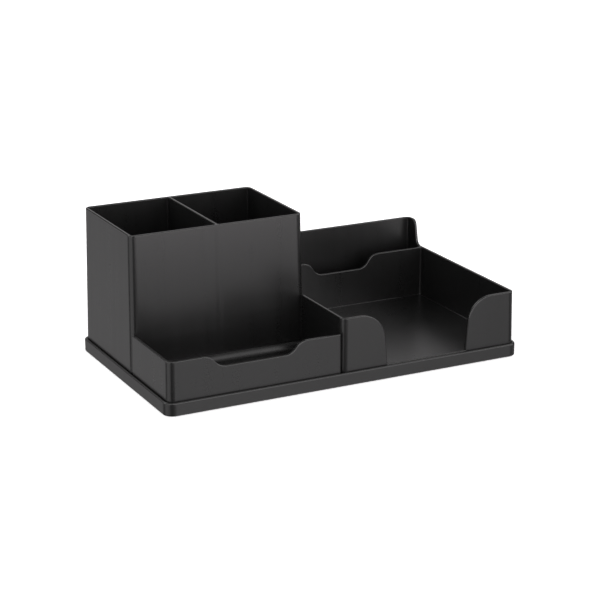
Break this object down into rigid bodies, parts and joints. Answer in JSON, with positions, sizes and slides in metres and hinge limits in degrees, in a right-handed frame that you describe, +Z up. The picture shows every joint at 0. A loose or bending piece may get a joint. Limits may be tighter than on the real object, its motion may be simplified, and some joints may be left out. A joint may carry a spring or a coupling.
{
  "type": "desk organizer",
  "caption": "Black desk organizer: a low plinth that carries a divided pen cup, a clip tray with a finger scoop and an open-fronted memo tray with a letter slot behind it.",
  "frame": {"origin": "on the desk, under the middle of the plinth", "axes": "+X to the right along the long side, +Y to the back, +Z up"},
  "size_m": [0.26, 0.148, 0.1025],
  "materials": {
    "plinth_plastic": "black injection moulded plastic, fine spark-eroded matte grain",
    "compartment_plastic": "black injection moulded plastic, satin",
    "foot_rubber": "matte black moulded rubber"
  },
  "bodies": {
    "base": {"base_tray": "plinth_plastic", "foot_front_left": "foot_rubber", "foot_front_right": "foot_rubber", "foot_rear_left": "foot_rubber", "foot_rear_right": "foot_rubber"},
    "pen_cup": {"pen_cup": "compartment_plastic"},
    "clip_tray": {"clip_tray": "compartment_plastic"},
    "memo_tray": {"memo_tray": "compartment_plastic"}
  },
  "joints": [
    {"name": "pen_cup_lift", "type": "slide", "parent": "base", "child": "pen_cup", "axis": [0, 0, 1], "range_m": [0, 0.06]},
    {"name": "clip_tray_lift", "type": "slide", "parent": "base", "child": "clip_tray", "axis": [0, 0, 1], "range_m": [0, 0.06]},
    {"name": "memo_tray_lift", "type": "slide", "parent": "base", "child": "memo_tray", "axis": [0, 0, 1], "range_m": [0, 0.06]}
  ]
}
